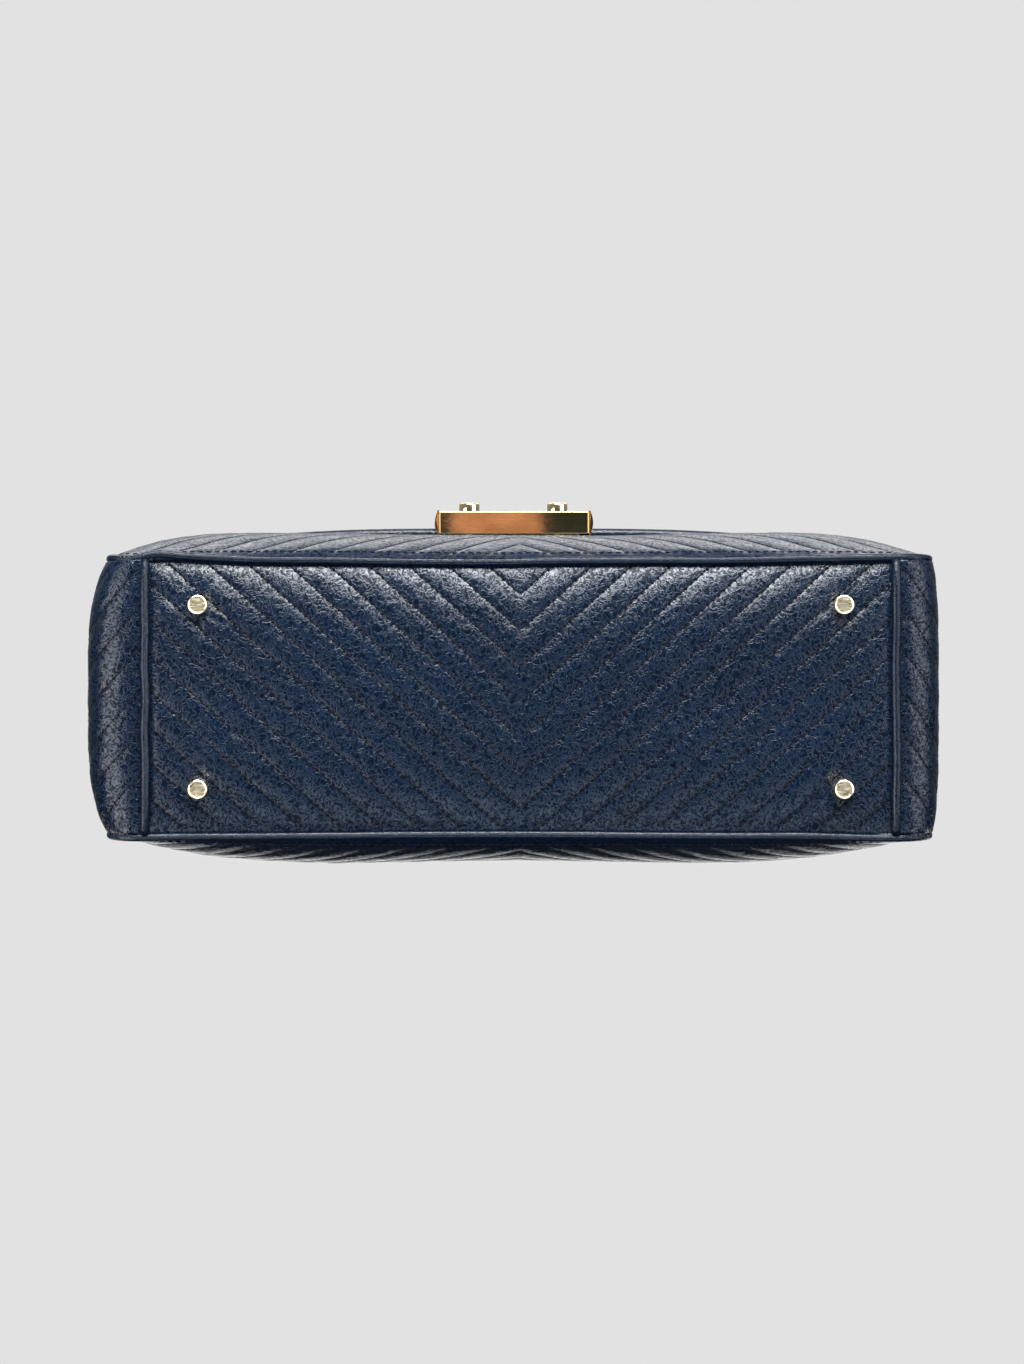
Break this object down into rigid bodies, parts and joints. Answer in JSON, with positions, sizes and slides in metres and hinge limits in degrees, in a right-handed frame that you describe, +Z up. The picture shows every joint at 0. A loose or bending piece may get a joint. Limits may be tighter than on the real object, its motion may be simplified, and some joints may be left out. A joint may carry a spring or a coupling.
{
  "type": "satchel bag",
  "caption": "Quilted leather satchel bag on metal feet, with a fold-over flap, a press-stud lock bar, a rolled top handle and side strap rings.",
  "frame": {"origin": "on the surface the bag stands on, under the middle of its box", "axes": "+Z up, front with the lock towards -Y, +X to the right as seen from the front"},
  "size_m": [0.3552, 0.157, 0.3378],
  "materials": {
    "leather": "navy pebbled leather, semi-gloss, quilted in chevrons",
    "lining_fabric": "plain woven lining, matt",
    "gold_metal": "polished pale gold plating",
    "board": "fibre board, unseen",
    "steel": "plain steel, unseen"
  },
  "bodies": {
    "bag": {"bottom_panel": "leather", "base_board": "board", "front_panel": "leather", "back_panel": "leather", "left_gusset": "leather", "right_gusset": "leather", "front_welt": "leather", "back_welt": "leather", "left_piping": "leather", "right_piping": "leather", "lining": "lining_fabric", "mouth_binding": "leather", "front_left_foot": "gold_metal", "front_right_foot": "gold_metal", "back_left_foot": "gold_metal", "back_right_foot": "gold_metal", "foot_washers": "steel", "flap_strip": "leather", "strike_plate": "gold_metal", "strike_posts": "gold_metal", "strike_backing": "steel", "left_ring_tab": "leather", "right_ring_tab": "leather", "ring_tab_rivets": "gold_metal"},
    "flap": {"flap_shell": "leather", "flap_lining": "lining_fabric", "flap_edge": "leather", "lock_bar": "gold_metal", "left_lock_cap": "gold_metal", "right_lock_cap": "gold_metal", "lock_rivets": "gold_metal", "left_stud_spring": "steel", "right_stud_spring": "steel", "left_handle_anchor": "leather", "right_handle_anchor": "leather", "anchor_rivets": "gold_metal", "handle_backing_plates": "steel"},
    "handle": {"left_handle_ring": "gold_metal", "right_handle_ring": "gold_metal", "left_handle_tab": "leather", "right_handle_tab": "leather", "handle_grip": "leather"},
    "left_stud": {"left_stud": "gold_metal"},
    "right_stud": {"right_stud": "gold_metal"},
    "left_strap_ring": {"left_strap_ring": "gold_metal"},
    "right_strap_ring": {"right_strap_ring": "gold_metal"}
  },
  "joints": [
    {"name": "flap_hinge", "type": "hinge", "parent": "bag", "child": "flap", "pos_m": [0, 0.05849, 0.2375], "axis": [-1, 0, 0], "range_deg": [0, 170]},
    {"name": "handle_swing", "type": "hinge", "parent": "flap", "child": "handle", "pos_m": [0, 0.01091, 0.24805], "axis": [1, 0, 0], "range_deg": [-75, 75]},
    {"name": "left_stud_press", "type": "slide", "parent": "flap", "child": "left_stud", "axis": [0, 1, 0], "range_m": [0, 0.0015], "stiffness_N_per_m": 400, "springref_m": -0.0005, "deforming": ["left_stud_spring"]},
    {"name": "right_stud_press", "type": "slide", "parent": "flap", "child": "right_stud", "axis": [0, 1, 0], "range_m": [0, 0.0015], "stiffness_N_per_m": 400, "springref_m": -0.0005, "deforming": ["right_stud_spring"]},
    {"name": "left_ring_swing", "type": "hinge", "parent": "bag", "child": "left_strap_ring", "pos_m": [-0.16736, 0.00749, 0.1931], "axis": [0, 1, 0], "range_deg": [0, 120]},
    {"name": "right_ring_swing", "type": "hinge", "parent": "bag", "child": "right_strap_ring", "pos_m": [0.16736, 0.00749, 0.1931], "axis": [0, -1, 0], "range_deg": [0, 120]}
  ]
}
